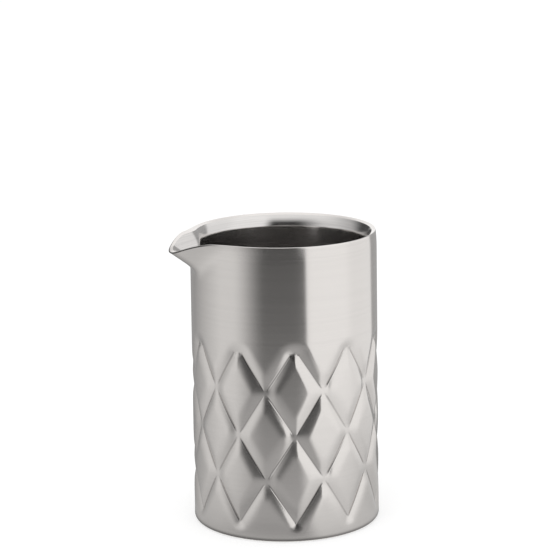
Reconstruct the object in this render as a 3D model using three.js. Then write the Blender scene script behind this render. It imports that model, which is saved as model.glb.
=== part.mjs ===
// A double-walled stainless steel jar for stirring drinks. Its outer skin is pressed with a lattice of
// diamonds, both skins share a beak-shaped spout, and a ground bead joins them all round the mouth.
// Millimetres, +Z up. The origin is on the jar's axis, on the plane that it stands on, and the spout
// points along -X. Angles are measured about +Z from the spout's axis.

import * as THREE from 'three';
import { mergeVertices } from 'three/addons/utils/BufferGeometryUtils.js';

const DEGREE = Math.PI / 180;

// Wall and foot
const SHEET = 0.6; // thickness of both skins
const SHOULDER_RADIUS = 45.0; // outside of the wall just below the turned-in rim
const FOOT_FLARE = 0.4; // how much wider the wall is at the foot
const RIM_TURN_IN = 0.5; // how far the wall turns in at the mouth
const RIM_TURN_HEIGHT = 9.0; // height over which it turns in
const FOOT_CORNER = 2.2; // outside radius where the wall turns under
const FOOT_FLANGE = 4.0; // flat width of the foot ring inside that corner
const FOOT_BAND = 6.4; // plain wall between the foot corner and the lattice
const UPPER_WALL = 48.4; // plain wall between the lattice and the rim plane

// Lattice of diamonds
const DIAMOND_COLUMNS = 10; // one of them in line with the spout
const DIAMOND_ROWS = 3; // whole rows, each set half a column aside from the next
const DIAMOND_HALF_HEIGHT = 21.5;
const GROOVE_DEPTH = 1.5;
const GROOVE_HALF_WIDTH = 6.3; // from the crease to where the wall is level again
const CREASE_ROUND = 0.3; // how far the bottom of a groove is rounded out
const CROSSING_EASE = 0.15; // share of the depth that is left out where two grooves cross
const TOP_TIP_ROUND = 3.2; // radius with which two grooves join at the top of the lattice
const FOOT_TIP_ROUND = 0.6; // the same at its foot
const END_ZONE = 0.5; // share of the outer half rows in which a groove counts as ending at its tip

// Spout
const SPOUT_PROJECTION = 13.7; // tip of the lip beyond the shoulder
const SPOUT_TIP_DROP = 5.8; // tip of the lip below the rim plane
const SPOUT_ROOT_DROP = 16.0; // where the keel's line meets the wall, below the rim plane
const SPOUT_HALF_ANGLE = 30.5 * DEGREE; // where the cheeks leave the rim
const SPOUT_NOSE = 6.0; // half the width over which the cheeks round into each other
const SPOUT_FILLET = 8.0; // reach of the blend between the cheeks and the wall
const LINER_FILLET = 2.5; // the same inside, where it is a ridge
const LIP_CURVE = 1.7; // power of the reach by which the lip falls towards the tip, 1 being straight

// Liner, base plate and bead
const AIR_GAP = 2.3; // clear space between the deepest groove and the liner
const LINER_CORNER = 6.0; // inside radius between the liner's wall and floor
const FLOOR_CLEARANCE = 7.2; // liner's floor above the base plate
const FLARE_HEIGHT = 6.2; // height below the rim over which the liner widens to meet the outer skin
const FLARE_CURVE = 1.6; // power of the height by which it widens, 1 being straight
const BASE_THICKNESS = 0.8;
const BEAD_HEIGHT = 0.8;
const BEAD_ROUND = 0.3; // bevel on both edges of the bead
const SEAM = 0.3; // clearance between neighbouring pieces

// Finishes
const SATIN_OUTSIDE = { color: 0xbdb9b5, roughness: 0.32, metalness: 1 };
const BRUSHED_INSIDE = { color: 0xb3afaa, roughness: 0.36, metalness: 1 };
const SPUN_BASE = { color: 0xb6b2ae, roughness: 0.4, metalness: 1 };
const POLISHED_RIM = { color: 0xd0cdc9, roughness: 0.15, metalness: 1 };

// Fineness of the faceted surfaces
const STEPS_PER_HALF_DIAMOND = 4;
const CORNER_STEPS = 3;
const SPOUT_STEPS = 6;
const LINER_SPOUT_STEPS = 4;
const FLARE_STEPS = 3;
const BISECTIONS = 40;

// Sizes that follow from the above
const HALF_COLUMN = Math.PI / DIAMOND_COLUMNS;
const HALF_DIAMOND_WIDTH = SHOULDER_RADIUS * HALF_COLUMN;
const HALF_ROWS = DIAMOND_ROWS + 1;
const LATTICE_FOOT = FOOT_CORNER + FOOT_BAND;
const LATTICE_TOP = LATTICE_FOOT + HALF_ROWS * DIAMOND_HALF_HEIGHT;
const RIM_PLANE = LATTICE_TOP + UPPER_WALL;
const TURN_IN_START = RIM_PLANE - RIM_TURN_HEIGHT;
const MOUTH_RADIUS = SHOULDER_RADIUS - RIM_TURN_IN;
const FOOT_RING_BORE = SHOULDER_RADIUS + FOOT_FLARE - FOOT_CORNER - FOOT_FLANGE;
const SPOUT_REACH = SHOULDER_RADIUS + SPOUT_PROJECTION;
const SPOUT_FOOT = RIM_PLANE - SPOUT_ROOT_DROP - SPOUT_FILLET;
const LINER_DEPTH = SHEET + SEAM; // liner's outside below the outer skin's outside, at the rim and spout
const RIM_WIDTH = LINER_DEPTH + SHEET;
const LINER_RADIUS = SHOULDER_RADIUS - SHEET - GROOVE_DEPTH - AIR_GAP;
const LINER_UNDERSIDE = BASE_THICKNESS + FLOOR_CLEARANCE;
const LINER_TURN = LINER_CORNER + SHEET; // outside radius between the liner's wall and floor

// Angles of the facets' edges, so that the lattice's lines run along their diagonals
const COLUMNS_AROUND = 2 * DIAMOND_COLUMNS * STEPS_PER_HALF_DIAMOND;
const TURNS = Array.from(
  { length: COLUMNS_AROUND },
  (_, column) => (2 * Math.PI * column) / COLUMNS_AROUND,
);

function clamp01(value) {
  return Math.min(Math.max(value, 0), 1);
}

function span(count) {
  return Array.from({ length: count + 1 }, (_, step) => step / count);
}

// The larger of two numbers, with a smooth passage where they differ by less than the reach
function smoothMax(first, second, reach) {
  const overlap = Math.max(reach - Math.abs(first - second), 0);
  return Math.max(first, second) + overlap ** 3 / (6 * reach ** 2);
}

// Distance to the nearest even whole number
function toEven(value) {
  return Math.abs(value - 2 * Math.round(value / 2));
}

// Outside radius of the wall without its grooves: a slight taper, turned in at the mouth
function wallRadius(level) {
  const taper = FOOT_FLARE * (1 - level / TURN_IN_START);
  const turned = clamp01((level - TURN_IN_START) / RIM_TURN_HEIGHT);
  return SHOULDER_RADIUS + Math.max(taper, 0) - RIM_TURN_IN * turned ** 2;
}

// Plane of one cheek, through its corner on the rim, the keel's root and the tip. The keel's two points
// stand aside by half the nose, which is where the rounding of the nose brings them back to the middle.
function cheekPlane() {
  const corner = new THREE.Vector3(
    MOUTH_RADIUS * Math.cos(SPOUT_HALF_ANGLE),
    MOUTH_RADIUS * Math.sin(SPOUT_HALF_ANGLE),
    RIM_PLANE,
  );
  const root = new THREE.Vector3(SHOULDER_RADIUS, SPOUT_NOSE / 2, RIM_PLANE - SPOUT_ROOT_DROP);
  const tip = new THREE.Vector3(SPOUT_REACH, SPOUT_NOSE / 2, RIM_PLANE - SPOUT_TIP_DROP);
  return new THREE.Plane().setFromCoplanarPoints(corner, tip, root);
}

const CHEEK = cheekPlane();
const CHEEK_FACING = Math.atan2(CHEEK.normal.y, CHEEK.normal.x);

// Distance from the axis to the cheeks, moved inwards by a depth. Near the middle the two cheeks round
// into each other: the sideways distance there is a parabola in place of its bare amount.
function spoutRadius(turn, level, depth) {
  const aside = Math.abs(Math.atan2(Math.sin(turn), Math.cos(turn)));
  if (aside > CHEEK_FACING) {
    return 0;
  }
  const { normal, constant } = CHEEK;
  const room = -constant - depth - normal.z * level;
  const flat = room / (normal.x * Math.cos(aside) + normal.y * Math.sin(aside));
  if (flat * Math.sin(aside) >= SPOUT_NOSE) {
    return flat;
  }
  const bend = (normal.y * Math.sin(aside) ** 2) / (2 * SPOUT_NOSE);
  const slope = normal.x * Math.cos(aside);
  const rest = Math.max(room - (normal.y * SPOUT_NOSE) / 2, 0);
  return (2 * rest) / (slope + Math.sqrt(slope ** 2 + 4 * bend * rest));
}

// Distance from two lattice lines that join in a round tip, given how far a point lies aside from the tip
// and beyond it
function tipDistance(aside, beyond, round) {
  const slant = Math.hypot(HALF_DIAMOND_WIDTH, DIAMOND_HALF_HEIGHT);
  const sine = HALF_DIAMOND_WIDTH / slant;
  const cosine = DIAMOND_HALF_HEIGHT / slant;
  const above = beyond + round / sine; // above the round's centre
  const atRound = aside * sine <= above * cosine;
  const outwards = atRound ? Math.hypot(aside, above) : cosine * aside + sine * above;
  return Math.abs(outwards - round);
}

// Share of a groove's depth at a distance from its crease: level at the shoulder, steepest at the crease
function grooveShare(distance) {
  return (1 - clamp01(Math.hypot(distance, CREASE_ROUND) / GROOVE_HALF_WIDTH)) ** 2;
}

// Depth of the lattice's grooves, which run slantwise both ways. Where two cross, what they share counts once
// and is eased, which rounds the corners of the diamonds.
function grooveDepth(turn, level) {
  const across = turn / HALF_COLUMN;
  const up = (level - LATTICE_FOOT) / DIAMOND_HALF_HEIGHT;
  const beyond = Math.max(up - HALF_ROWS, -up);
  if (beyond > -END_ZONE) {
    const atTop = up > HALF_ROWS / 2;
    const aside = toEven(across + (atTop ? HALF_ROWS : 0)) * HALF_DIAMOND_WIDTH;
    const round = atTop ? TOP_TIP_ROUND : FOOT_TIP_ROUND;
    return GROOVE_DEPTH * grooveShare(tipDistance(aside, beyond * DIAMOND_HALF_HEIGHT, round));
  }
  const pitch = (HALF_DIAMOND_WIDTH * DIAMOND_HALF_HEIGHT)
    / Math.hypot(HALF_DIAMOND_WIDTH, DIAMOND_HALF_HEIGHT);
  const rising = grooveShare(toEven(across - up) * pitch);
  const falling = grooveShare(toEven(across + up) * pitch);
  return GROOVE_DEPTH * (rising + falling - (1 + CROSSING_EASE) * rising * falling);
}

// Radius of the outer skin, moved inwards by a depth
function shellRadius(turn, level, depth) {
  const plain = smoothMax(wallRadius(level) - depth, spoutRadius(turn, level, depth), SPOUT_FILLET);
  return plain - grooveDepth(turn, level);
}

// Radius of the liner, whose outside lies at LINER_DEPTH: straight, flared under the rim, with its spout
function linerRadius(turn, level, depth) {
  const flare = clamp01(1 - (RIM_PLANE - level) / FLARE_HEIGHT) ** FLARE_CURVE;
  const seat = wallRadius(level) - LINER_DEPTH;
  const wall = LINER_RADIUS + (seat - LINER_RADIUS) * flare;
  return smoothMax(wall - (depth - LINER_DEPTH), spoutRadius(turn, level, depth), LINER_FILLET);
}

// Height of the lip at a distance from the axis along the spout
function lipHeight(reach) {
  const share = Math.max(reach - MOUTH_RADIUS, 0) / (SPOUT_REACH - MOUTH_RADIUS);
  return RIM_PLANE - SPOUT_TIP_DROP * share ** LIP_CURVE;
}

// Height at which a surface reaches the lip, less a drop
function lipLevel(radius, turn, drop) {
  let low = LATTICE_TOP;
  let high = RIM_PLANE;
  for (let pass = 0; pass < BISECTIONS; pass += 1) {
    const middle = (low + high) / 2;
    const lip = lipHeight(radius(turn, middle) * Math.cos(turn)) - drop;
    if (lip > middle) {
      low = middle;
    } else {
      high = middle;
    }
  }
  return low;
}

// Joins rings into one closed skin. A ring is a function from the angle to [radius, level, groove], and
// one of radius 0 is a point on the axis. Rings run up the outside and down the inside, and where they
// don't start on the axis the last one joins the first. A facet's diagonal follows the deeper groove.
function skinGeometry(rings) {
  const positions = [];
  const grooves = [];
  for (const ring of rings) {
    for (const turn of TURNS) {
      const [radius, level, groove = 0] = ring(turn);
      positions.push(-radius * Math.cos(turn), -radius * Math.sin(turn), level);
      grooves.push(groove);
    }
  }
  const onAxis = (ring) => rings[ring](0)[0] === 0;
  const triangles = [];
  const lastRing = onAxis(0) ? rings.length - 1 : rings.length;
  for (let ring = 0; ring < lastRing; ring += 1) {
    const above = (ring + 1) % rings.length;
    for (let column = 0; column < COLUMNS_AROUND; column += 1) {
      const right = (column + 1) % COLUMNS_AROUND;
      const a = ring * COLUMNS_AROUND + column;
      const b = ring * COLUMNS_AROUND + right;
      const c = above * COLUMNS_AROUND + right;
      const d = above * COLUMNS_AROUND + column;
      if (onAxis(ring)) {
        triangles.push(a, c, d);
      } else if (onAxis(above)) {
        triangles.push(a, b, c);
      } else if (grooves[a] + grooves[c] >= grooves[b] + grooves[d]) {
        triangles.push(a, b, c, a, c, d);
      } else {
        triangles.push(a, b, d, b, c, d);
      }
    }
  }
  const geometry = new THREE.BufferGeometry();
  geometry.setAttribute('position', new THREE.Float32BufferAttribute(positions, 3));
  geometry.setIndex(triangles);
  const merged = mergeVertices(geometry);
  merged.computeVertexNormals();
  return merged;
}

// Rings of a quarter-round corner of a given radius about a centre, from its underside up to its side
function cornerRings(centreRadius, centreLevel, radius) {
  return span(CORNER_STEPS).map((share) => {
    const angle = (share * Math.PI) / 2;
    return () => [centreRadius + radius * Math.sin(angle), centreLevel - radius * Math.cos(angle)];
  });
}

// Rings of a surface between two levels that may change with the angle
function risingRings(radius, bottomOf, topOf, steps) {
  return span(steps).map((share) => (turn) => {
    const level = bottomOf(turn) + (topOf(turn) - bottomOf(turn)) * share;
    return [radius(turn, level), level];
  });
}

// One face of the outer skin, from the foot ring's bore up to the lip
function shellFace(depth) {
  const radius = (turn, level) => shellRadius(turn, level, depth);
  const level = (height) => (turn) => [radius(turn, height), height, grooveDepth(turn, height)];
  const lattice = span(HALF_ROWS * STEPS_PER_HALF_DIAMOND).map(
    (share) => level(LATTICE_FOOT + (LATTICE_TOP - LATTICE_FOOT) * share),
  );
  const cornerCentre = wallRadius(FOOT_CORNER) - FOOT_CORNER;
  const lip = (turn) => lipLevel(radius, turn, BEAD_HEIGHT + SEAM);
  return [
    () => [FOOT_RING_BORE, depth],
    ...cornerRings(cornerCentre, FOOT_CORNER, FOOT_CORNER - depth),
    level(FOOT_CORNER + FOOT_BAND / 2),
    ...lattice,
    level(LATTICE_TOP + GROOVE_HALF_WIDTH),
    ...risingRings(radius, () => SPOUT_FOOT, lip, SPOUT_STEPS),
  ];
}

function outerShell() {
  return skinGeometry([...shellFace(0), ...shellFace(SHEET).reverse()]);
}

// One face of the liner, from the middle of its floor up to the lip
function linerFace(depth) {
  const radius = (turn, level) => linerRadius(turn, level, depth);
  const thickness = depth - LINER_DEPTH;
  const lip = (turn) => lipLevel(radius, turn, BEAD_HEIGHT + SEAM);
  const flareFoot = (turn) => lip(turn) - FLARE_HEIGHT + BEAD_HEIGHT + SEAM;
  return [
    () => [0, LINER_UNDERSIDE + thickness],
    ...cornerRings(LINER_RADIUS - LINER_TURN, LINER_UNDERSIDE + LINER_TURN, LINER_TURN - thickness),
    ...risingRings(radius, () => SPOUT_FOOT, flareFoot, LINER_SPOUT_STEPS),
    ...risingRings(radius, flareFoot, lip, FLARE_STEPS).slice(1),
  ];
}

function innerLiner() {
  return skinGeometry([...linerFace(LINER_DEPTH), ...linerFace(RIM_WIDTH).reverse()]);
}

function basePlate() {
  const edge = FOOT_RING_BORE - SEAM;
  return skinGeometry([
    () => [0, 0],
    () => [edge, 0],
    () => [edge, BASE_THICKNESS],
    () => [0, BASE_THICKNESS],
  ]);
}

// The bead's ring at a depth behind the outer skin's outside and a drop below the lip
function beadRing(face, depth, drop) {
  const radius = (turn, level) => face(turn, level, depth);
  return (turn) => {
    const level = lipLevel(radius, turn, drop);
    return [radius(turn, level), level];
  };
}

function rimBead() {
  return skinGeometry([
    beadRing(shellRadius, 0, BEAD_HEIGHT),
    beadRing(shellRadius, 0, BEAD_ROUND),
    beadRing(shellRadius, BEAD_ROUND, 0),
    beadRing(linerRadius, RIM_WIDTH - BEAD_ROUND, 0),
    beadRing(linerRadius, RIM_WIDTH, BEAD_ROUND),
    beadRing(linerRadius, RIM_WIDTH, BEAD_HEIGHT),
  ]);
}

function steelMesh(name, geometry, finish) {
  const mesh = new THREE.Mesh(geometry, new THREE.MeshStandardMaterial(finish));
  mesh.name = name;
  return mesh;
}

const jar = new THREE.Group();
jar.add(steelMesh('outer_shell', outerShell(), SATIN_OUTSIDE));
jar.add(steelMesh('inner_liner', innerLiner(), BRUSHED_INSIDE));
jar.add(steelMesh('base_plate', basePlate(), SPUN_BASE));
jar.add(steelMesh('rim_bead', rimBead(), POLISHED_RIM));

export default jar;
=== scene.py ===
"""A double-walled steel jar for stirring drinks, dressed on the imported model's frame.

The four solids of the frame are replaced by fine surfaces of the same form: the outer skin with its pressed
lattice of diamonds, the liner, the base plate and the ground bead round the mouth. Sizes are in millimetres
and meshes in metres. The jar stands on the origin, +Z is up and the spout points along -X.
"""

import logging
import math
from dataclasses import dataclass, replace
from enum import Enum
from typing import Any, Callable, ClassVar

import bmesh
import bpy
import numpy as np
from mathutils import Matrix


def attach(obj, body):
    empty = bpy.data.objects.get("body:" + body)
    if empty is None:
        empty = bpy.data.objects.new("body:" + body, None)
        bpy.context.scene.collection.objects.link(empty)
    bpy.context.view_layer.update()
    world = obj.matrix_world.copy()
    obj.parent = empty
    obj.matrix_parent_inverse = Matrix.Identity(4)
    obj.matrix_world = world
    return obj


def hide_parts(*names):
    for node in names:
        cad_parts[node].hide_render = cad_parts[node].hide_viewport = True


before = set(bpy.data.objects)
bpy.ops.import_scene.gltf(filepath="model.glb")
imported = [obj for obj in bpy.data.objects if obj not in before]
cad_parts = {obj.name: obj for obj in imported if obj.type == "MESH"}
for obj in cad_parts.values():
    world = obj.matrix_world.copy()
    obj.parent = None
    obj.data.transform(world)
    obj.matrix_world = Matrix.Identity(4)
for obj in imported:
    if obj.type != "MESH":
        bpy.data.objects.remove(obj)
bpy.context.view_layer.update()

LOG = logging.getLogger("jar")
BODY = "root"
METRE = 0.001  # one millimetre, in metres
FULL_TURN = 2 * math.pi
BAKE_MAP = "OFBake"  # name of the UV map that lays each piece out flat for baking
CREASE = "crease"  # attribute: 1 where shade is painted into the steel, at the bottom of a groove and on the bead's outside by the spout
LEVEL = "level"  # attribute: how bright a card of the light tent is
SHARP_ANGLE = math.radians(32)
MERGE_DISTANCE = 1e-6
BISECTIONS = 40

Surface = Callable[[np.ndarray, np.ndarray], np.ndarray]


def smooth_step(low: float, high: float, value: np.ndarray) -> np.ndarray:
    """Passage from 0 at low to 1 at high along a cubic that is level at both ends."""
    share = np.clip((value - low) / (high - low), 0.0, 1.0)
    return share * share * (3.0 - 2.0 * share)


def smooth_max(first: np.ndarray, second: np.ndarray, reach: float) -> np.ndarray:
    """The larger of two arrays, lifted by a cubic where they differ by less than the reach."""
    overlap = np.maximum(reach - np.abs(first - second), 0.0)
    return np.maximum(first, second) + overlap**3 / (6.0 * reach**2)


def to_even(value: np.ndarray) -> np.ndarray:
    """Distance to the nearest even whole number."""
    return np.abs(value - 2.0 * np.round(value / 2.0))


@dataclass(frozen=True)
class JarForm:
    """Driving sizes of the jar in millimetres, and its surfaces as functions of two parameters.

    The parameters are the turn, in radians about the axis from the spout, and the level above the table.
    Each surface gives the distance from the axis. A depth moves it inwards, so that skins of different
    depths never cross.
    """

    sheet: float = 0.6
    shoulder_radius: float = 45.0
    foot_flare: float = 0.4
    rim_turn_in: float = 0.5
    rim_turn_height: float = 9.0
    foot_corner: float = 2.2
    foot_flange: float = 4.0
    foot_band: float = 6.4
    upper_wall: float = 48.4
    diamond_columns: int = 10
    diamond_rows: int = 3
    diamond_half_height: float = 21.5
    groove_depth: float = 1.5
    groove_half_width: float = 6.3
    crease_round: float = 0.3
    crossing_ease: float = 0.3
    top_tip_round: float = 3.2
    foot_tip_round: float = 0.6
    end_zone: float = 0.5
    spout_projection: float = 13.7
    spout_tip_drop: float = 5.8
    spout_root_drop: float = 16.0
    spout_half_angle: float = math.radians(30.5)
    spout_nose: float = 6.0
    spout_fillet: float = 8.0
    liner_fillet: float = 2.5
    lip_curve: float = 1.7
    air_gap: float = 2.3
    liner_corner: float = 6.0
    floor_clearance: float = 7.2
    flare_height: float = 6.2
    flare_curve: float = 1.6
    base_thickness: float = 0.8
    bead_height: float = 0.8
    seam: float = 0.3

    @property
    def half_column(self) -> float:
        """Turn from the middle of a diamond to its side corner."""
        return math.pi / self.diamond_columns

    @property
    def half_diamond_width(self) -> float:
        """The same, along the wall."""
        return self.shoulder_radius * self.half_column

    @property
    def half_rows(self) -> int:
        """Height of the lattice in half diamonds."""
        return self.diamond_rows + 1

    @property
    def lattice_foot(self) -> float:
        """Level of the lowest tips of the lattice."""
        return self.foot_corner + self.foot_band

    @property
    def lattice_top(self) -> float:
        """Level of its highest tips."""
        return self.lattice_foot + self.half_rows * self.diamond_half_height

    @property
    def rim_plane(self) -> float:
        """Level of the rim away from the spout."""
        return self.lattice_top + self.upper_wall

    @property
    def turn_in_start(self) -> float:
        """Level at which the wall starts to turn in towards the mouth."""
        return self.rim_plane - self.rim_turn_height

    @property
    def mouth_radius(self) -> float:
        """Outside radius of the rim."""
        return self.shoulder_radius - self.rim_turn_in

    @property
    def spout_reach(self) -> float:
        """Distance from the axis to the tip of the lip."""
        return self.shoulder_radius + self.spout_projection

    @property
    def spout_foot(self) -> float:
        """Level below which the spout doesn't change the wall."""
        return self.rim_plane - self.spout_root_drop - self.spout_fillet

    @property
    def foot_ring_bore(self) -> float:
        """Radius of the hole in the foot ring, which the base plate closes."""
        return self.shoulder_radius + self.foot_flare - self.foot_corner - self.foot_flange

    @property
    def liner_depth(self) -> float:
        """Depth of the liner's outside at the rim and in the spout."""
        return self.sheet + self.seam

    @property
    def rim_width(self) -> float:
        """Depth of the liner's inside there."""
        return self.liner_depth + self.sheet

    @property
    def liner_radius(self) -> float:
        """Outside radius of the liner below its flare."""
        return self.shoulder_radius - self.sheet - self.groove_depth - self.air_gap

    @property
    def liner_underside(self) -> float:
        """Level of the underside of the liner's floor."""
        return self.base_thickness + self.floor_clearance

    @property
    def cheek(self) -> tuple[np.ndarray, float]:
        """Plane of one cheek of the spout, through its corner on the rim, the tip and the keel's root.

        The keel's two points stand aside by half the nose, which is where the rounding of the nose brings
        them back to the middle.
        """
        corner = np.array([
            self.mouth_radius * math.cos(self.spout_half_angle),
            self.mouth_radius * math.sin(self.spout_half_angle),
            self.rim_plane,
        ])
        aside = self.spout_nose / 2.0
        root = np.array([self.shoulder_radius, aside, self.rim_plane - self.spout_root_drop])
        tip = np.array([self.spout_reach, aside, self.rim_plane - self.spout_tip_drop])
        normal = np.cross(root - tip, corner - tip)
        normal /= np.linalg.norm(normal)
        return normal, float(normal @ corner)

    def wall(self, level: np.ndarray) -> np.ndarray:
        """Outside radius of the wall without its grooves: a slight taper, turned in by a parabola at the mouth.

        Args:
            level: Levels.

        Returns:
            Radii.
        """
        taper = np.maximum(self.foot_flare * (1.0 - level / self.turn_in_start), 0.0)
        turned = np.clip((level - self.turn_in_start) / self.rim_turn_height, 0.0, 1.0)
        return self.shoulder_radius + taper - self.rim_turn_in * turned**2

    def spout(self, turn: np.ndarray, level: np.ndarray, depth: float) -> np.ndarray:
        """Distance to the two cheek planes, which round into each other over the nose by a parabola.

        Args:
            turn: Turns.
            level: Levels.
            depth: How far the planes are moved inwards.

        Returns:
            Radii, 0 where the cheeks face away.
        """
        normal, offset = self.cheek
        aside = np.abs(np.arctan2(np.sin(turn), np.cos(turn)))
        facing = aside <= math.atan2(normal[1], normal[0])
        aside = np.where(facing, aside, 0.0)
        room = offset - depth - normal[2] * level
        flat = room / (normal[0] * np.cos(aside) + normal[1] * np.sin(aside))
        bend = normal[1] * np.sin(aside) ** 2 / (2.0 * self.spout_nose)
        slope = normal[0] * np.cos(aside)
        rest = np.maximum(room - normal[1] * self.spout_nose / 2.0, 0.0)
        nose = 2.0 * rest / (slope + np.sqrt(slope**2 + 4.0 * bend * rest))
        radius = np.where(flat * np.sin(aside) >= self.spout_nose, flat, nose)
        return np.where(facing, radius, 0.0)

    def tip_distance(self, aside: np.ndarray, beyond: np.ndarray, radius: np.ndarray) -> np.ndarray:
        """Distance from two lattice lines that join in a round tip.

        Beside the round it is the distance from the nearer line, and above the round's centre it is the
        difference between the distance from that centre and the round's radius.

        Args:
            aside: Distances from the tip along the wall.
            beyond: Distances above it, negative within the lattice.
            radius: Radii of the rounds.

        Returns:
            Distances.
        """
        slant = math.hypot(self.half_diamond_width, self.diamond_half_height)
        sine, cosine = self.half_diamond_width / slant, self.diamond_half_height / slant
        above = beyond + radius / sine
        at_round = aside * sine <= above * cosine
        outwards = np.where(at_round, np.hypot(aside, above), cosine * aside + sine * above)
        return np.abs(outwards - radius)

    def groove_share(self, distance: np.ndarray) -> np.ndarray:
        """Share of a groove's depth at a distance from its rounded crease: a parabola, level at the shoulder."""
        reach = np.hypot(distance, self.crease_round) / self.groove_half_width
        return (1.0 - np.clip(reach, 0.0, 1.0)) ** 2

    def groove_distances(self, turn: np.ndarray, level: np.ndarray) -> tuple[np.ndarray, np.ndarray]:
        """Distances from the lattice's lines, which rise and fall by one half diamond per half column.

        Within the lattice they are the distances from the nearest line of each kind. In the outer halves of
        the outer rows one is the distance from the lines' common tip, and the other is out of reach.

        Args:
            turn: Turns.
            level: Levels.

        Returns:
            Distances from the nearest line that rises, and from the nearest that falls.
        """
        width, height = self.half_diamond_width, self.diamond_half_height
        across = turn / self.half_column
        up = (level - self.lattice_foot) / height
        pitch = width * height / math.hypot(width, height)
        beyond = np.maximum(up - self.half_rows, -up)
        at_top = up > self.half_rows / 2.0
        aside = to_even(across + np.where(at_top, self.half_rows, 0)) * width
        radius = np.where(at_top, self.top_tip_round, self.foot_tip_round)
        tip = self.tip_distance(aside, beyond * height, radius)
        ends = beyond > -self.end_zone
        rising = np.where(ends, tip, to_even(across - up) * pitch)
        falling = np.where(ends, self.groove_half_width, to_even(across + up) * pitch)
        return rising, falling

    def groove(self, turn: np.ndarray, level: np.ndarray) -> np.ndarray:
        """Depth of the lattice's grooves: the sum of both shares, less what they share and an ease of it."""
        rising, falling = (self.groove_share(distance) for distance in self.groove_distances(turn, level))
        return self.groove_depth * (rising + falling - (1.0 + self.crossing_ease) * rising * falling)

    def shell(self, turn: np.ndarray, level: np.ndarray, depth: float = 0.0) -> np.ndarray:
        """Radius of the outer skin, moved inwards by a depth: wall and spout blended, less the grooves."""
        plain = smooth_max(self.wall(level) - depth, self.spout(turn, level, depth), self.spout_fillet)
        return plain - self.groove(turn, level)

    def liner(self, turn: np.ndarray, level: np.ndarray, depth: float) -> np.ndarray:
        """Radius of the liner: straight, flared by a power of the height under the rim, blended with its spout.

        Args:
            turn: Turns.
            level: Levels.
            depth: Depth behind the outer skin, from liner_depth outside to rim_width inside.

        Returns:
            Radii.
        """
        flare = np.clip(1.0 - (self.rim_plane - level) / self.flare_height, 0.0, 1.0) ** self.flare_curve
        seat = self.wall(level) - self.liner_depth
        straight = self.liner_radius + (seat - self.liner_radius) * flare
        inwards = depth - self.liner_depth
        return smooth_max(straight - inwards, self.spout(turn, level, depth), self.liner_fillet)

    def lip_height(self, reach: np.ndarray) -> np.ndarray:
        """Level of the lip, which falls by a power of the distance from the axis along the spout."""
        share = np.maximum(reach - self.mouth_radius, 0.0) / (self.spout_reach - self.mouth_radius)
        return self.rim_plane - self.spout_tip_drop * share**self.lip_curve

    def lip_level(self, surface: Surface, turn: np.ndarray, drop: float) -> np.ndarray:
        """Level at which a surface reaches the lip, by halving the interval that holds it.

        Args:
            surface: Radius as a function of turn and level.
            turn: Turns.
            drop: How far below the lip the surface ends.

        Returns:
            Levels, one for each turn.
        """
        low = np.full_like(turn, self.lattice_top)
        high = np.full_like(turn, self.rim_plane)
        for _ in range(BISECTIONS):
            middle = (low + high) / 2.0
            below = self.lip_height(surface(turn, middle) * np.cos(turn)) - drop > middle
            low = np.where(below, middle, low)
            high = np.where(below, high, middle)
        return low


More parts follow.
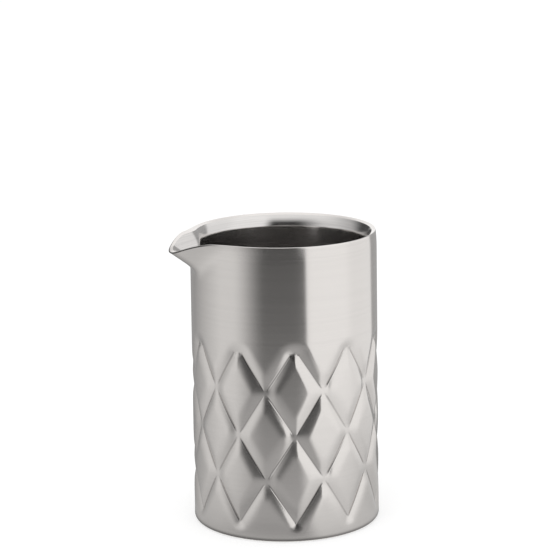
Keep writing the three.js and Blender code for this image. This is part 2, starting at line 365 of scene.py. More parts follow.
@dataclass
class Skin:
    """A closed surface as a grid of rings round the axis, in millimetres.

    Attributes:
        turn: Turn of each column.
        radius: Distance from the axis, a row for each ring. A ring of radius 0 is a pole.
        level: Level above the table, in the same shape.
        crease: 1 where shade is painted: at the bottom of a groove and on the bead's outside by the spout's tip,
        in the same shape.
        fold: Depth of the grooves, in the same shape. A facet's diagonal follows the deeper side.
    """

    turn: np.ndarray
    radius: np.ndarray
    level: np.ndarray
    crease: np.ndarray
    fold: np.ndarray

    @classmethod
    def plain(cls, turn: np.ndarray, profile: list[tuple[np.ndarray, np.ndarray]]) -> "Skin":
        """Skin without grooves.

        Args:
            turn: Turn of each column.
            profile: Blocks of rings, each a pair of radii and levels that broadcast to rings by columns.

        Returns:
            The skin.
        """
        radius, level = cls.stack(turn, profile)
        nothing = np.zeros_like(radius)
        return cls(turn, radius, level, nothing, nothing)

    @staticmethod
    def stack(turn: np.ndarray, profile: list[tuple[np.ndarray, np.ndarray]]) -> tuple[np.ndarray, np.ndarray]:
        """Joins blocks of rings, given as pairs of radii and levels, into one grid of each."""
        blocks = [np.broadcast_arrays(radius, level, turn[None, :])[:2] for radius, level in profile]
        return np.concatenate([block[0] for block in blocks]), np.concatenate([block[1] for block in blocks])

    @property
    def ends_at_poles(self) -> bool:
        """True if the first and last rings are points on the axis."""
        return bool(self.radius[0].max() < MERGE_DISTANCE)

    def points(self) -> np.ndarray:
        """Vertices in metres: the turn about -X, the radius and the level."""
        x = -self.radius * np.cos(self.turn)
        y = -self.radius * np.sin(self.turn)
        return np.stack([x, y, self.level], axis=-1).reshape(-1, 3) * METRE

    def facets(self) -> tuple[np.ndarray, np.ndarray]:
        """Two triangles for each cell of the grid, split along the diagonal that lies in the groove.

        Returns:
            Vertex numbers, and the same corners as (ring, column) pairs that run past the seam.
        """
        rings, columns = self.radius.shape
        last = rings - 1 if self.ends_at_poles else rings
        ring, column = np.meshgrid(np.arange(last), np.arange(columns), indexing="ij")
        corners = {
            "a": (ring, column),
            "b": (ring, column + 1),
            "c": (ring + 1, column + 1),
            "d": (ring + 1, column),
        }
        depth = {key: self.fold[r % rings, c % columns] for key, (r, c) in corners.items()}
        along = depth["a"] + depth["c"] >= depth["b"] + depth["d"]
        grid = {key: np.stack(pair, axis=-1) for key, pair in corners.items()}
        one = np.stack([grid[key] for key in "abcacd"], axis=2)
        other = np.stack([grid[key] for key in "abdbcd"], axis=2)
        chosen = np.where(along[:, :, None, None], one, other).reshape(-1, 2)
        return (chosen[:, 0] % rings) * columns + chosen[:, 1] % columns, chosen

    def bake_places(self, corners: np.ndarray) -> np.ndarray:
        """Places on the bake's map: the turn across it, and the length along the profile up it.

        Args:
            corners: Facet corners as (ring, column) pairs.

        Returns:
            Pairs between 0 and 1, one for each corner.
        """
        ring = np.stack([self.radius.mean(axis=1), self.level.mean(axis=1)], axis=-1)
        ring = np.concatenate([ring, ring[:1]])
        length = np.concatenate([[0.0], np.cumsum(np.linalg.norm(np.diff(ring, axis=0), axis=1))])
        total = length[-2] if self.ends_at_poles else length[-1]
        return np.stack([corners[:, 1] / self.turn.size, length[corners[:, 0]] / total], axis=-1)

    def to_object(self, name: str) -> bpy.types.Object:
        """Makes the mesh, merges its poles and marks its sharp edges.

        Args:
            name: Name of the piece.

        Returns:
            The new object, in the scene.
        """
        index, corners = self.facets()
        points = self.points()
        mesh = bpy.data.meshes.new(name)
        mesh.vertices.add(len(points))
        mesh.vertices.foreach_set("co", points.astype(np.float32).ravel())
        mesh.loops.add(len(index))
        mesh.loops.foreach_set("vertex_index", index.astype(np.int32))
        mesh.polygons.add(len(index) // 3)
        mesh.polygons.foreach_set("loop_start", np.arange(0, len(index), 3, dtype=np.int32))
        mesh.update(calc_edges=True)
        places = mesh.uv_layers.new(name=BAKE_MAP)
        places.uv.foreach_set("vector", self.bake_places(corners).astype(np.float32).ravel())
        crease = mesh.attributes.new(CREASE, "FLOAT", "POINT")
        crease.data.foreach_set("value", self.crease.astype(np.float32).ravel())
        self.merge_poles(mesh)
        mesh.shade_smooth()
        mesh.set_sharp_from_angle(angle=SHARP_ANGLE)
        piece = bpy.data.objects.new(name, mesh)
        bpy.context.collection.objects.link(piece)
        return piece

    @staticmethod
    def merge_poles(mesh: bpy.types.Mesh) -> None:
        """Merges the vertices that lie on each other at a pole."""
        work = bmesh.new()
        work.from_mesh(mesh)
        bmesh.ops.remove_doubles(work, verts=work.verts, dist=MERGE_DISTANCE)
        work.to_mesh(mesh)
        work.free()


class Wiring:
    """Adds nodes to a material and joins them."""

    def __init__(self, name: str) -> None:
        """Makes an empty material.

        Args:
            name: Name of the material.
        """
        self.material = bpy.data.materials.new(name)
        self.material.use_nodes = True
        self.tree = self.material.node_tree
        self.tree.nodes.clear()

    def add(self, kind: str, values: dict[Any, Any] | None = None, **settings: Any) -> bpy.types.Node:
        """Adds a node.

        Args:
            kind: Type of the node, without its ShaderNode prefix.
            values: Input name or number to a value, or to a socket that is joined to it.
            **settings: Properties of the node.

        Returns:
            The node.
        """
        node = self.tree.nodes.new("ShaderNode" + kind)
        for name, value in settings.items():
            setattr(node, name, value)
        for key, value in (values or {}).items():
            if isinstance(value, bpy.types.NodeSocket):
                self.tree.links.new(value, node.inputs[key])
            else:
                node.inputs[key].default_value = value
        return node

    def finish(self, shader: bpy.types.Node) -> bpy.types.Material:
        """Joins the last shader node to the output, and gives the material."""
        self.add("OutputMaterial", {"Surface": shader.outputs[0]})
        return self.material


class Brushing(Enum):
    """How the brush ran over a piece."""

    ROUND = "round the wall"
    SPUN = "in circles on a disc"


@dataclass(frozen=True)
class SteelFinish:
    """Brushed stainless steel.

    The grain is a noise drawn out along the brush's path, in a fine and a broad size. It shades the colour
    and the roughness slightly and ripples the surface. The highlight is drawn out across the grain.

    Attributes:
        name: Name of the material.
        tint: Reflected colour, linear.
        roughness: Mean roughness.
        anisotropy: How much the highlight is drawn out.
        brushing: Path of the brush.
        grain_pitch: Height of one streak, in millimetres.
        grain_length: Its length.
        grain_relief: Height of the ripple, in millimetres.
        contrast: Share by which the grain lightens and darkens the colour.
        crease_shade: Share of painted shade on the bottom of a groove and on the bead's outside by the spout's
            tip.
        crease_depth: Depth of the sharp line pressed in the bottom of a groove, in millimetres.
    """

    name: str
    tint: tuple[float, float, float]
    roughness: float
    anisotropy: float
    brushing: Brushing
    grain_pitch: float
    grain_length: float
    grain_relief: float
    contrast: float
    crease_shade: float = 0.0
    crease_depth: float = 0.0

    BROAD_PITCH: ClassVar[float] = 9.0  # broad streaks, in fine ones
    BROAD_LENGTH: ClassVar[float] = 3.0
    FINE_SHARE: ClassVar[float] = 0.65
    FINE_NOISE: ClassVar[dict[str, float]] = {"Scale": 1.0, "Detail": 3.0, "Roughness": 0.6}
    BROAD_NOISE: ClassVar[dict[str, float]] = {"Scale": 1.0, "Detail": 2.0, "Roughness": 0.5}
    NOISE_RANGE: ClassVar[tuple[float, float]] = (0.3, 0.7)  # between which most of the noise lies
    ROUGHNESS_SPREAD: ClassVar[float] = 0.12
    QUARTER_TURN: ClassVar[float] = 0.25  # turns the highlight from along the grain to across it

    def grain_place(self, wiring: Wiring, pitch: float, length: float) -> bpy.types.NodeSocket:
        """Coordinates in which one streak has the size 1.

        Args:
            wiring: The material's nodes.
            pitch: Height of a streak, in millimetres.
            length: Its length.

        Returns:
            The coordinates' socket.
        """
        place = wiring.add("TexCoord").outputs["Object"]
        across, along = 1.0 / (pitch * METRE), 1.0 / (length * METRE)
        if self.brushing is Brushing.ROUND:
            scaled = wiring.add("VectorMath", {0: place, 1: (along, along, across)}, operation="MULTIPLY")
            return scaled.outputs["Vector"]
        flat = wiring.add("VectorMath", {0: place, 1: (1.0, 1.0, 0.0)}, operation="MULTIPLY")
        radius = wiring.add("VectorMath", {0: flat.outputs["Vector"]}, operation="LENGTH")
        rings = wiring.add("Math", {0: radius.outputs["Value"], 1: across}, operation="MULTIPLY")
        slow = wiring.add("VectorMath", {0: place, 1: (along, along, along)}, operation="MULTIPLY")
        parts = wiring.add("SeparateXYZ", {0: slow.outputs["Vector"]})
        joined = wiring.add("CombineXYZ", {0: parts.outputs[0], 1: parts.outputs[1], 2: rings.outputs[0]})
        return joined.outputs["Vector"]

    def grain(self, wiring: Wiring) -> bpy.types.NodeSocket:
        """Fine and broad streaks mixed.

        Args:
            wiring: The material's nodes.

        Returns:
            Socket of a value about one half.
        """
        place = self.grain_place(wiring, self.grain_pitch, self.grain_length)
        fine = wiring.add("TexNoise", {"Vector": place, **self.FINE_NOISE})
        place = self.grain_place(
            wiring, self.grain_pitch * self.BROAD_PITCH, self.grain_length * self.BROAD_LENGTH
        )
        broad = wiring.add("TexNoise", {"Vector": place, **self.BROAD_NOISE})
        mixed = wiring.add(
            "Mix", {"Factor": self.FINE_SHARE, "A": broad.outputs[0], "B": fine.outputs[0]}, data_type="FLOAT"
        )
        return mixed.outputs[0]

    def spread(self, wiring: Wiring, grain: bpy.types.NodeSocket, low: float, high: float) -> bpy.types.NodeSocket:
        """Spreads the grain over a range, from the dark streaks' value to the light ones'."""
        span = dict(zip(("From Min", "From Max", "To Min", "To Max"), (*self.NOISE_RANGE, low, high)))
        return wiring.add("MapRange", {"Value": grain, **span}).outputs[0]

    def material(self) -> bpy.types.Material:
        """Builds the material.

        Returns:
            The material.
        """
        wiring = Wiring(self.name)
        grain = self.grain(wiring)
        tone = self.spread(wiring, grain, 1.0 - self.contrast, 1.0 + self.contrast)
        crease = wiring.add("Attribute", attribute_name=CREASE).outputs["Fac"]
        # Painted shade: the colour is darkened by crease_shade where the crease attribute is 1
        if self.crease_shade:
            kept = wiring.add("MapRange", {"Value": crease, "To Min": 1.0, "To Max": 1.0 - self.crease_shade})
            tone = wiring.add("Math", {0: tone, 1: kept.outputs[0]}, operation="MULTIPLY").outputs[0]
        colour = wiring.add("VectorMath", {0: self.tint, "Scale": tone}, operation="SCALE")
        rough = self.spread(
            wiring, grain,
            self.roughness * (1.0 - self.ROUGHNESS_SPREAD), self.roughness * (1.0 + self.ROUGHNESS_SPREAD),
        )
        relief = {"Height": grain, "Distance": self.grain_relief * METRE, "Strength": 1.0}
        if self.crease_depth:
            pressed = {"Height": crease, "Distance": self.crease_depth * METRE, "Strength": 1.0}
            relief["Normal"] = wiring.add("Bump", pressed, invert=True).outputs[0]
        ripple = wiring.add("Bump", relief)
        steel = wiring.add(
            "BsdfPrincipled",
            {"Base Color": colour.outputs["Vector"], "Roughness": rough, "Normal": ripple.outputs[0],
             "Metallic": 1.0, "Anisotropic": self.anisotropy, "Anisotropic Rotation": self.QUARTER_TURN},
        )
        return wiring.finish(steel)


# crease_shade paints shade into the bottom of the grooves; crease_depth presses a line there with a bump
OUTSIDE_STEEL = SteelFinish(
    "satin_outside", (0.775, 0.745, 0.72), 0.19, 0.7, Brushing.ROUND,
    grain_pitch=0.35, grain_length=120.0, grain_relief=0.0012, contrast=0.03, crease_shade=0.3, crease_depth=0.18,
)
INSIDE_STEEL = SteelFinish(
    "brushed_inside", (0.755, 0.735, 0.72), 0.165, 0.7, Brushing.ROUND,
    grain_pitch=0.6, grain_length=60.0, grain_relief=0.004, contrast=0.12,
)
BASE_STEEL = SteelFinish(
    "spun_base", (0.72, 0.695, 0.67), 0.36, 0.7, Brushing.SPUN,
    grain_pitch=0.5, grain_length=30.0, grain_relief=0.008, contrast=0.05,
)
# its crease_shade is painted shade along the bead's outside by the spout's tip
RIM_STEEL = SteelFinish(
    "polished_rim", (0.82, 0.79, 0.765), 0.16, 0.4, Brushing.ROUND,
    grain_pitch=0.3, grain_length=30.0, grain_relief=0.001, contrast=0.03, crease_shade=0.85,
)


@dataclass
class JarPiece:
    """One piece of the jar.

    Attributes:
        form: The jar's sizes and surfaces.
        finish: What the piece is made of.
        columns_per_half_diamond: Columns of facets in half a diamond's width.
    """

    form: JarForm
    finish: SteelFinish
    columns_per_half_diamond: int = 20

    node: ClassVar[str] = ""
    slot: ClassVar[str] = ""

    @property
    def turn(self) -> np.ndarray:
        """Turn of each column of facets, so that the lattice's lines run along their diagonals."""
        columns = 2 * self.form.diamond_columns * self.columns_per_half_diamond
        return np.arange(columns) * (FULL_TURN / columns)

    def skin(self) -> Skin:
        """Closed surface of the piece, which each kind of piece works out."""
        raise NotImplementedError

    def corner(self, centre: tuple[float, float], radius: float, steps: int) -> tuple[np.ndarray, np.ndarray]:
        """Rings of a quarter round about a radius and a level, from its underside up to its side."""
        angle = np.linspace(0.0, math.pi / 2.0, steps + 1)[:, None]
        return centre[0] + radius * np.sin(angle), centre[1] - radius * np.cos(angle)

    def build(self) -> bpy.types.Object:
        """Makes the piece, dresses it and sets it on the frame in place of its solid.

        Returns:
            The piece.
        """
        piece = self.skin().to_object(self.node + "_skin")
        piece.data.materials.append(self.finish.material())
        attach(piece, BODY)
        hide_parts(self.node)
        LOG.info("%s: %d facets", piece.name, len(piece.data.polygons))
        return piece


@dataclass
class OuterShell(JarPiece):
    """The pressed outer skin, with the spout's outside and a foot turned under into a ring."""

    node: ClassVar[str] = "outer_shell"
    slot: ClassVar[str] = "outer_steel"

    corner_steps: int = 8
    band_steps: int = 9
    plain_steps: int = 10
    spout_steps: int = 36
    crease_width: float = 0.6
    crease_end: tuple[float, float] = (0.8, 3.8)

    def face(self, depth: float, coarseness: int) -> list[tuple[np.ndarray, np.ndarray]]:
        """Rings of one face of the sheet, from the foot ring's bore up to the bead.

        Args:
            depth: Depth of the face, 0 outside.
            coarseness: Divisor of the number of rings.

        Returns:
            Blocks of radii and levels.
        """
        form, turn = self.form, self.turn[None, :]

        def span(low: float, high: float, steps: int) -> np.ndarray:
            """Levels of a block without its last one, as a column."""
            return np.linspace(low, high, max(steps // coarseness, 1), endpoint=False)[:, None]

        lattice_steps = form.half_rows * self.columns_per_half_diamond
        above_lattice = form.lattice_top + form.groove_half_width
        below_spout = np.concatenate([
            span(form.foot_corner, form.lattice_foot, self.band_steps)[1:],
            span(form.lattice_foot, form.lattice_top, lattice_steps),
            span(form.lattice_top, above_lattice, self.band_steps),
            span(above_lattice, form.spout_foot, self.plain_steps),
        ])
        lip = form.lip_level(lambda t, z: form.shell(t, z, depth), self.turn, form.bead_height)
        share = np.linspace(0.0, 1.0, self.spout_steps // coarseness + 1)[:, None]
        level = np.concatenate([
            np.broadcast_to(below_spout, (len(below_spout), self.turn.size)),
            form.spout_foot + (lip - form.spout_foot) * share,
        ])
        centre = (float(form.wall(np.array(form.foot_corner))) - form.foot_corner, form.foot_corner)
        return [
            (np.array([[form.foot_ring_bore]]), np.array([[depth]])),
            self.corner(centre, form.foot_corner - depth, self.corner_steps),
            (form.shell(turn, level, depth), level),
        ]

    def skin(self) -> Skin:
        """Surface of the piece: the outside upwards, then the inside of the sheet downwards.

        Returns:
            The closed skin.
        """
        outside = Skin.stack(self.turn, self.face(0.0, 1))
        inside = Skin.stack(self.turn, self.face(self.form.sheet, 2))
        radius = np.concatenate([outside[0], inside[0][::-1]])
        level = np.concatenate([outside[1], inside[1][::-1]])
        fold = self.form.groove(self.turn[None, :], level)
        rising, falling = self.form.groove_distances(self.turn[None, :], level)
        # Painted shade along the crease lines, also the depth of the pressed line: 1 on a line, falling to 0 over
        # crease_width and fading out near the crossings
        crease = np.clip(1.0 - np.minimum(rising, falling) / self.crease_width, 0.0, 1.0)
        crease = crease * smooth_step(*self.crease_end, np.maximum(rising, falling))
        return Skin(self.turn, radius, level, crease, fold)


@dataclass
class InnerLiner(JarPiece):
    """The smooth cup inside, with a rounded floor, a flare under the rim and the spout's inside."""

    node: ClassVar[str] = "inner_liner"
    slot: ClassVar[str] = "inner_steel"

    floor_steps: int = 10
    corner_steps: int = 10
    wall_steps: int = 14
    spout_steps: int = 34
    flare_steps: int = 14

    def face(self, depth: float) -> list[tuple[np.ndarray, np.ndarray]]:
        """Rings of one face of the liner, from the middle of its floor up to the bead.

        Args:
            depth: Depth of the face behind the outer skin.

        Returns:
            Blocks of radii and levels.
        """
        form = self.form
        inwards = depth - form.liner_depth
        bend = form.liner_corner + form.sheet
        floor_edge = form.liner_radius - bend
        bend_level = form.liner_underside + bend
        floor = np.linspace(0.0, floor_edge, self.floor_steps, endpoint=False)[:, None]

        def surface(turn: np.ndarray, level: np.ndarray) -> np.ndarray:
            """This face as a function of turn and level."""
            return form.liner(turn, level, depth)

        lip = form.lip_level(surface, self.turn, form.bead_height)
        flare_foot = lip - form.flare_height + form.bead_height
        wall = np.linspace(bend_level, form.spout_foot, self.wall_steps, endpoint=False)[1:, None]
        rise = np.linspace(0.0, 1.0, self.spout_steps, endpoint=False)[:, None]
        flare = np.linspace(0.0, 1.0, self.flare_steps + 1)[:, None]
        level = np.concatenate([
            np.broadcast_to(wall, (len(wall), self.turn.size)),
            form.spout_foot + (flare_foot - form.spout_foot) * rise,
            flare_foot + (lip - flare_foot) * flare,
        ])
        return [
            (floor, np.full_like(floor, form.liner_underside + inwards)),
            self.corner((floor_edge, bend_level), bend - inwards, self.corner_steps),
            (surface(self.turn[None, :], level), level),
        ]

    def skin(self) -> Skin:
        """Surface of the piece: the outside upwards, then the inside downwards.

        Returns:
            The closed skin.
        """
        outside = Skin.stack(self.turn, self.face(self.form.liner_depth))
        inside = Skin.stack(self.turn, self.face(self.form.rim_width))
        return Skin.plain(self.turn, [outside, (inside[0][::-1], inside[1][::-1])])


@dataclass
class BasePlate(JarPiece):
    """The disc that closes the underside, with eased edges."""

    node: ClassVar[str] = "base_plate"
    slot: ClassVar[str] = "base_steel"

    disc_steps: int = 10
    easing: float = 0.2

    def skin(self) -> Skin:
        """Surface of the piece, from the middle of its underside round to the middle of its top.

        Returns:
            The closed skin.
        """
        form = self.form
        edge = form.foot_ring_bore - form.seam
        disc = np.linspace(0.0, edge - self.easing, self.disc_steps)[:, None]
        under = (disc, np.zeros_like(disc))
        top = (disc[::-1], np.full_like(disc, form.base_thickness))
        side = (np.full((2, 1), edge), np.array([[self.easing], [form.base_thickness - self.easing]]))
        return Skin.plain(self.turn, [under, side, top])


@dataclass
class RimBead(JarPiece):
    """The ground bead that joins both skins all round the mouth and the spout.

    It is round outside and slopes down inwards like the liner's flare. By the spout's tip a dark line of painted
    shade is laid along the bead's outside.
    """

    node: ClassVar[str] = "rim_bead"
    slot: ClassVar[str] = "rim_steel"

    round_steps: int = 5
    rounding: float = 0.3
    slope_steps: int = 4
    slope_drop: float = 0.7
    unshaded_rings: int = 2
    lip_shade_fade: tuple[float, float] = (math.radians(16.0), math.radians(28.0))

    def ring(self, face: Callable[..., np.ndarray], depth: float, drop: float) -> tuple[np.ndarray, np.ndarray]:
        """Radii and levels of one ring, where a skin moved inwards by a depth reaches the lip less a drop."""
        level = self.form.lip_level(lambda t, z: face(t, z, depth), self.turn, drop)
        return face(self.turn, level, depth)[None, :], level[None, :]

    def skin(self) -> Skin:
        """Surface of the piece: up the outside, over a quarter round, down the slope and the inside.

        Returns:
            The closed skin.
        """
        form = self.form
        angles = np.linspace(0.0, math.pi / 2.0, self.round_steps + 1)
        rounds = [(self.rounding * (1.0 - math.cos(a)), self.rounding * (1.0 - math.sin(a))) for a in angles]
        outer = [self.ring(form.shell, 0.0, form.bead_height)]
        outer += [self.ring(form.shell, depth, drop) for depth, drop in rounds]
        crest, foot = outer[-1], self.ring(form.liner, form.rim_width, self.slope_drop)
        shares = np.linspace(0.0, 1.0, self.slope_steps + 1)[1:]
        inner = [tuple(top + (low - top) * share for top, low in zip(crest, foot)) for share in shares]
        inner.append(self.ring(form.liner, form.rim_width, form.bead_height))
        skin = Skin.plain(self.turn, outer + inner)
        # Painted shade: a dark line on the bead's outside rings by the spout's tip, fading out with the turn; the
        # rings at the crest stay bright
        aside = np.abs(np.arctan2(np.sin(self.turn), np.cos(self.turn)))
        painted_lip_shade = np.zeros_like(skin.radius)
        painted_lip_shade[: len(outer) - self.unshaded_rings] = 1.0 - smooth_step(*self.lip_shade_fade, aside)
        return replace(skin, crease=painted_lip_shade)


@dataclass(frozen=True)
class PhotoCamera:
    """The camera at the photograph's view. Lengths are in millimetres and angles in degrees.

    Attributes:
        azimuth: Turn of the camera about the jar.
        distance: Horizontal distance from the jar's axis.
        height: Height above the table.
        aside: How far it stands to the right of the line through the axis.
        pitch: How far it looks down.
        roll: How far the picture is turned anticlockwise.
        focal_pixels: Focal length in pixels of the frame.
        frame_pixels: Width of the frame.
        shift_pixels: How far the picture is moved right and down.
    """

    azimuth: float = -23.5
    distance: float = 1081.3
    height: float = 355.9
    aside: float = -3.98
    pitch: float = 12.29
    roll: float = 0.825
    focal_pixels: float = 2288.9
    frame_pixels: float = 550.0
    shift_pixels: float = 0.5

    SENSOR: ClassVar[float] = 36.0

    def build(self) -> bpy.types.Object:
        """Makes the camera and gives it to the scene.

        Returns:
            The camera.
        """
        turn = math.radians(self.azimuth)
        lens = bpy.data.cameras.new("photo_camera")
        lens.sensor_fit = "HORIZONTAL"
        lens.sensor_width = self.SENSOR
        lens.lens = self.SENSOR * self.focal_pixels / self.frame_pixels
        lens.shift_x = -self.shift_pixels / self.frame_pixels
        lens.shift_y = self.shift_pixels / self.frame_pixels
        camera = bpy.data.objects.new("photo_camera", lens)
        bpy.context.collection.objects.link(camera)
        facing = (
            Matrix.Rotation(turn, 4, "Z")
            @ Matrix.Rotation(math.radians(90.0 - self.pitch), 4, "X")
            @ Matrix.Rotation(math.radians(-self.roll), 4, "Z")
        )
        place = Matrix.Rotation(turn, 4, "Z") @ Matrix.Translation(
            (self.aside * METRE, -self.distance * METRE, self.height * METRE)
        )
        camera.matrix_world = Matrix.Translation(place.to_translation()) @ facing
        bpy.context.scene.camera = camera
        return camera


@dataclass(frozen=True)
class LightTent:
    """A white studio with a dark flag in front of the jar, which the steel mirrors.

    The tent is a round wall and a floor card that only mirrored rays see. Directions are in degrees from the
    camera's azimuth, positive to the right. The flag fills the front with a soft left edge and a hard right
    edge, the right side is an even white sail, and the left side fades towards a grey back.
    """

    azimuth: float
    wall_radius: float = 1.5
    wall_height: float = 2.3
    wall_fade: tuple[float, float] = (1.05, 2.2)
    wall_flag: tuple[float, float] = (0.115, 0.035)
    flag_darkens: tuple[float, float] = (0.16, 0.42)
    wall_left: tuple[float, float] = (-68.0, -16.0)
    wall_right: tuple[float, float] = (13.0, 31.0)
    edge_softens: tuple[float, float] = (0.05, 0.22)
    left_corner: tuple[float, float] = (-140.0, -112.0)
    corner_level: float = 0.2
    back_card: tuple[float, float] = (156.0, 168.0)
    floor_flag: float = 0.075
    floor_left: tuple[float, float] = (-65.0, -22.0)
    near_right: tuple[float, float] = (12.0, 27.0)
    far_right: tuple[float, float] = (24.6, 26.8)
    near_to_far: tuple[float, float] = (0.18, 0.33)
    sail_level: float = 0.98
    sail_dim: float = 0.9
    sail_side: tuple[float, float] = (76.0, 92.0)
    sail_end: tuple[float, float] = (129.5, 133.0)
    back_level: float = 0.4
    left_level: float = 0.74
    left_dark: float = 0.35
    left_fade: tuple[float, float] = (-140.0, -82.0)
    front_near: float = 0.44
    front_reach: float = 0.3
    front_dip: float = 0.09
    dip_place: float = 0.066
    dip_width: float = 0.01
    side_near: float = 0.6
    side_reach: float = 0.33
    left_power: float = 0.7
    right_power: tuple[float, float] = (1.0, 2.2)
    power_change: tuple[float, float] = (45.0, 90.0)
    card_inner: float = 0.0446
    contact_level: float = 0.35
    contact_end: float = 0.05

    COLUMNS: ClassVar[int] = 1440
    WALL_ROWS: ClassVar[int] = 48
    FLOOR_ROWS: ClassVar[int] = 80
    CARD_LIFT: ClassVar[float] = 0.0004
    UNSEEN_BY: ClassVar[tuple[str, ...]] = ("camera", "diffuse", "transmission", "volume_scatter", "shadow")

    def wall_share(self, azimuth: np.ndarray, height: np.ndarray) -> np.ndarray:
        """How far a place on the wall is clear of the flag, whose right edge softens with height.

        Args:
            azimuth: Directions.
            height: Heights above the table in metres.

        Returns:
            Shares, 0 behind the flag and 1 beside it.
        """
        left = 1.0 - smooth_step(*self.wall_left, azimuth)
        low, high = smooth_step(*self.far_right, azimuth), smooth_step(*self.wall_right, azimuth)
        return np.maximum(left, low + (high - low) * smooth_step(*self.edge_softens, height))

    def floor_share(self, azimuth: np.ndarray, radius: np.ndarray) -> np.ndarray:
        """The same on the floor, where the right edge hardens with distance.

        Args:
            azimuth: Directions.
            radius: Distances from the jar's axis in metres.

        Returns:
            Shares.
        """
        left = 1.0 - smooth_step(*self.floor_left, azimuth)
        near, far = smooth_step(*self.near_right, azimuth), smooth_step(*self.far_right, azimuth)
        return np.maximum(left, near + (far - near) * smooth_step(*self.near_to_far, radius))

    def side_level(self, azimuth: np.ndarray) -> np.ndarray:
        """Brightness beside the flag: an even sail on the right, a fade on the left and a grey back.

        Args:
            azimuth: Directions.

        Returns:
            Levels.
        """
        left = np.interp(azimuth, self.left_fade, (self.left_dark, self.left_level))
        sail = self.sail_level + (self.sail_dim - self.sail_level) * smooth_step(*self.sail_side, azimuth)
        right = sail + (self.back_level - sail) * smooth_step(*self.sail_end, azimuth)
        return np.where(azimuth < 0.0, left, right)

    def wall_level(self, azimuth: np.ndarray, height: np.ndarray) -> np.ndarray:
        """Brightness of the wall, with a dark left corner, a white card at the back and a white top.

        Args:
            azimuth: Directions.
            height: Heights above the table in metres.

        Returns:
            Levels.
        """
        low, high = self.wall_flag
        flag = low + (high - low) * smooth_step(*self.flag_darkens, height)
        level = flag + (self.side_level(azimuth) - flag) * self.wall_share(azimuth, height)
        corner = 1.0 - smooth_step(*self.left_corner, azimuth)
        level = level * (1.0 + (self.corner_level - 1.0) * corner)
        white = np.maximum(smooth_step(*self.wall_fade, height), smooth_step(*self.back_card, np.abs(azimuth)))
        return level + (1.0 - level) * white

    def floor_level(self, azimuth: np.ndarray, radius: np.ndarray) -> np.ndarray:
        """Brightness of the floor.

        In front it falls to the flag's level as the inverse of one plus the cube of the distance, less a
        shallow bell-shaped dip by the foot. At the sides it rises to the side's level with a power of the
        logarithm of the distance. Under the foot it fades into the contact shadow.

        Args:
            azimuth: Directions.
            radius: Distances from the jar's axis in metres.

        Returns:
            Levels.
        """
        front = self.floor_flag + (self.front_near - self.floor_flag) / (1.0 + (radius / self.front_reach) ** 3)
        front = front - self.front_dip * np.exp(-(((radius - self.dip_place) / self.dip_width) ** 2))
        rise = np.clip(np.log(radius / self.card_inner) / math.log(self.side_reach / self.card_inner), 0.0, 1.0)
        first, last = self.right_power
        power = np.where(
            azimuth < 0.0, self.left_power, first + (last - first) * smooth_step(*self.power_change, azimuth)
        )
        side = self.side_level(azimuth) * (self.side_near + (1.0 - self.side_near) * rise**power)
        level = front + (side - front) * self.floor_share(azimuth, radius)
        lit = smooth_step(self.card_inner, self.contact_end, radius)
        return level * (self.contact_level + (1.0 - self.contact_level) * lit)

    def card(
        self, name: str, azimuth: np.ndarray, radius: np.ndarray, height: np.ndarray, level: np.ndarray
    ) -> None:
        """Makes one card as a grid of directions by rows.

        Args:
            name: Name of the card.
            azimuth: Directions of the columns.
            radius: Distances from the axis, in rows by columns.
            height: Heights above the table, in the same shape.
            level: Brightness, in the same shape.
        """
        turn = np.radians(azimuth + self.azimuth)
        points = np.stack([radius * np.sin(turn), -radius * np.cos(turn), height], axis=-1)
        rows, columns = radius.shape
        row, column = np.meshgrid(np.arange(rows - 1), np.arange(columns - 1), indexing="ij")
        first = (row * columns + column).ravel()
        faces = np.stack([first, first + 1, first + columns + 1, first + columns], axis=-1)
        mesh = bpy.data.meshes.new(name)
        mesh.from_pydata(points.reshape(-1, 3).tolist(), [], faces.tolist())
        mesh.attributes.new(LEVEL, "FLOAT", "POINT").data.foreach_set("value", level.astype(np.float32).ravel())
        mesh.materials.append(self.material(name))
        card = bpy.data.objects.new(name, mesh)
        bpy.context.collection.objects.link(card)
        for ray in self.UNSEEN_BY:
            setattr(card, "visible_" + ray, False)

    def material(self, name: str) -> bpy.types.Material:
        """White that shines at the card's level.

        Args:
            name: Name of the material.

        Returns:
            The material.
        """
        wiring = Wiring(name)
        level = wiring.add("Attribute", attribute_name=LEVEL)
        return wiring.finish(wiring.add("Emission", {"Strength": level.outputs["Fac"]}))

    def build(self) -> None:
        """Makes the wall and the floor card."""
        azimuth = np.linspace(-180.0, 180.0, self.COLUMNS + 1)
        rise = np.linspace(0.0, self.wall_height, self.WALL_ROWS)[:, None]
        around, height = np.broadcast_arrays(azimuth[None, :], rise)
        place = np.full_like(height, self.wall_radius)
        self.card("tent_wall", azimuth, place, height, self.wall_level(around, height))
        reach = np.geomspace(self.card_inner, self.wall_radius, self.FLOOR_ROWS)[:, None]
        around, radius = np.broadcast_arrays(azimuth[None, :], reach)
        lift = np.full_like(radius, self.CARD_LIFT)
        self.card("tent_floor", azimuth, radius, lift, self.floor_level(around, radius))


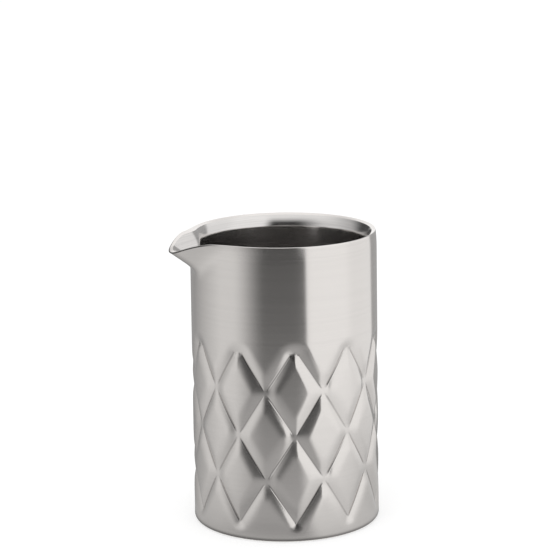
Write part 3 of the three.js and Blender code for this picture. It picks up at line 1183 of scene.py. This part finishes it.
@dataclass(frozen=True)
class Studio:
    """The white table, the white surround and one soft lamp, which the steel doesn't mirror.

    Attributes:
        table_half: Half the width of the table, in metres.
        table_colour: Its colour.
        table_glow: Light that it adds to the picture and to mirrors, which makes it white.
        lamp_place: Where the lamp hangs.
        lamp_size: Its width.
        lamp_power: Its power in watts.
    """

    table_half: float = 8.0
    table_colour: float = 0.5
    table_glow: float = 0.53
    lamp_place: tuple[float, float, float] = (-0.5, -0.6, 1.7)
    lamp_size: float = 1.4
    lamp_power: float = 7.0

    def table_material(self) -> bpy.types.Material:
        """White that keeps the jar's shadow: a plain surface, and a glow for camera and mirrored rays.

        Returns:
            The material.
        """
        wiring = Wiring("white_table")
        grey = (self.table_colour,) * 3 + (1.0,)
        plain = wiring.add("BsdfDiffuse", {"Color": grey})
        path = wiring.add("LightPath")
        seen = wiring.add(
            "Math", {0: path.outputs["Is Camera Ray"], 1: path.outputs["Is Glossy Ray"]}, operation="MAXIMUM"
        )
        seen = wiring.add(
            "Math", {0: seen.outputs[0], 1: path.outputs["Is Transmission Ray"]}, operation="MAXIMUM"
        )
        strength = wiring.add("Math", {0: seen.outputs[0], 1: self.table_glow}, operation="MULTIPLY")
        glow = wiring.add("Emission", {"Strength": strength.outputs[0]})
        return wiring.finish(wiring.add("AddShader", {0: plain.outputs[0], 1: glow.outputs[0]}))

    def build(self) -> None:
        """Makes the table, the surround and the lamp."""
        half = self.table_half
        mesh = bpy.data.meshes.new("table")
        corners = [(-half, -half, 0.0), (half, -half, 0.0), (half, half, 0.0), (-half, half, 0.0)]
        mesh.from_pydata(corners, [], [(0, 1, 2, 3)])
        mesh.materials.append(self.table_material())
        table = bpy.data.objects.new("table", mesh)
        bpy.context.collection.objects.link(table)
        world = bpy.data.worlds.new("white_surround")
        world.use_nodes = True
        background = world.node_tree.nodes["Background"]
        background.inputs["Color"].default_value = (1.0, 1.0, 1.0, 1.0)
        background.inputs["Strength"].default_value = 1.0
        bpy.context.scene.world = world
        light = bpy.data.lights.new("soft_lamp", "AREA")
        light.shape = "DISK"
        light.size = self.lamp_size
        light.energy = self.lamp_power
        lamp = bpy.data.objects.new("soft_lamp", light)
        lamp.location = self.lamp_place
        lamp.visible_glossy = False
        bpy.context.collection.objects.link(lamp)
        bpy.context.scene.view_settings.view_transform = "Standard"


def main() -> None:
    """Builds the camera, the studio and the jar's pieces in order."""
    logging.basicConfig(level=logging.INFO, format="%(name)s: %(message)s")
    view = PhotoCamera()
    view.build()
    Studio().build()
    LightTent(azimuth=view.azimuth).build()
    form = JarForm()
    OuterShell(form, OUTSIDE_STEEL).build()
    InnerLiner(form, INSIDE_STEEL).build()
    BasePlate(form, BASE_STEEL).build()
    RimBead(form, RIM_STEEL).build()


if __name__ == "__main__":
    main()
